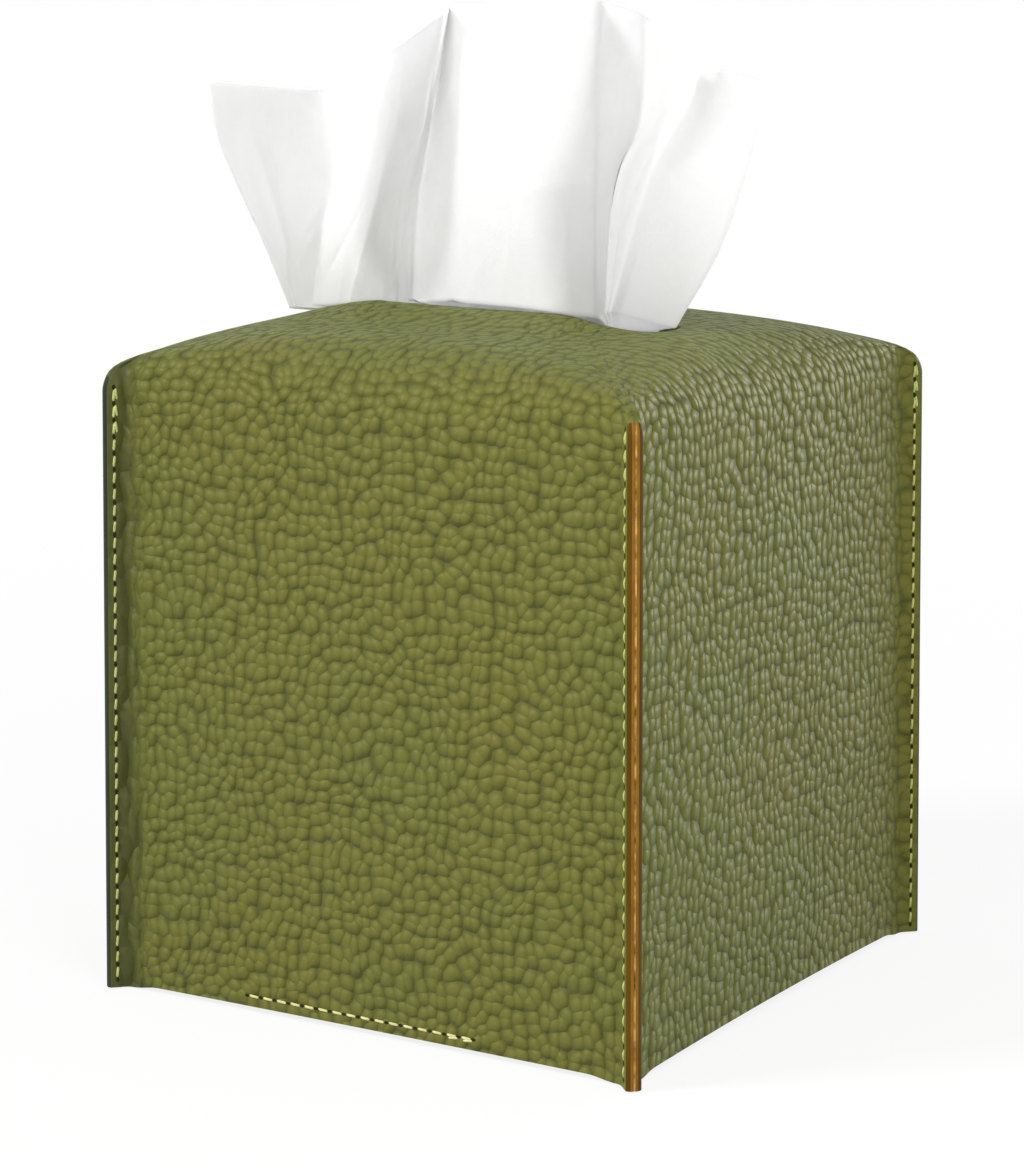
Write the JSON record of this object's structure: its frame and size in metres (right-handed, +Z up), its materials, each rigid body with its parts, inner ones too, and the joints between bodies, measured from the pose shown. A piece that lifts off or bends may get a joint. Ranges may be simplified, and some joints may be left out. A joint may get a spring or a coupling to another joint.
{
  "type": "tissue box cover",
  "caption": "Square leather tissue box cover with a rounded top, an oval slot, sewn corner fins and a bottom strap, holding a cube refill with a tissue pulled up.",
  "frame": {"origin": "on the table under the middle of the cover", "axes": "+Z up, -Y towards the front wall with the stitched hem, +X towards the right wall seen from the front"},
  "size_m": [0.1242, 0.1242, 0.196],
  "materials": {
    "leather": "pebble-grained, semi-gloss olive",
    "lining": "brushed backing",
    "seam_thread": "twisted thread, pale green",
    "hem_thread": "twisted thread, pale yellow",
    "strap_leather": "pebble-grained, semi-gloss olive",
    "tape": "woven hook-and-loop tape",
    "carton_board": "plain board",
    "film": "clear film",
    "tissue_paper": "soft crepe tissue"
  },
  "bodies": {
    "cover": {"leather_cover": "leather", "lining": "lining", "seam_needle_thread_front_left": "seam_thread", "seam_bobbin_thread_front_left": "seam_thread", "seam_needle_thread_front_right": "seam_thread", "seam_bobbin_thread_front_right": "seam_thread", "seam_needle_thread_back_right": "seam_thread", "seam_bobbin_thread_back_right": "seam_thread", "seam_needle_thread_back_left": "seam_thread", "seam_bobbin_thread_back_left": "seam_thread", "front_hem_needle_thread": "hem_thread", "front_hem_bobbin_thread": "hem_thread", "back_hem_needle_thread": "hem_thread", "back_hem_bobbin_thread": "hem_thread", "front_strap_sewn_end": "strap_leather", "back_tab_sewn_end": "strap_leather"},
    "strap": {"front_strap": "strap_leather", "loop_tape": "tape"},
    "tab": {"back_tab": "strap_leather", "hook_tape": "tape"},
    "refill": {"carton": "carton_board", "carton_film": "film", "tissue_stack": "tissue_paper"},
    "pulled_tissue": {"tissue": "tissue_paper"}
  },
  "joints": [
    {"name": "strap_swing", "type": "hinge", "parent": "cover", "child": "strap", "pos_m": [0, -0.05603, 0.0009], "axis": [-1, 0, 0], "range_deg": [0, 90]},
    {"name": "tab_swing", "type": "hinge", "parent": "cover", "child": "tab", "pos_m": [0, 0.05603, 0.00375], "axis": [1, 0, 0], "range_deg": [0, 90]},
    {"name": "refill_lift", "type": "slide", "parent": "cover", "child": "refill", "axis": [0, 0, 1], "range_m": [0, 0.003]},
    {"name": "tissue_pull", "type": "slide", "parent": "refill", "child": "pulled_tissue", "axis": [0, 0, 1], "range_m": [0, 0.09]}
  ],
  "couplings": [
    {"joint": "tab_swing", "follows": "strap_swing", "ratio": 1}
  ]
}
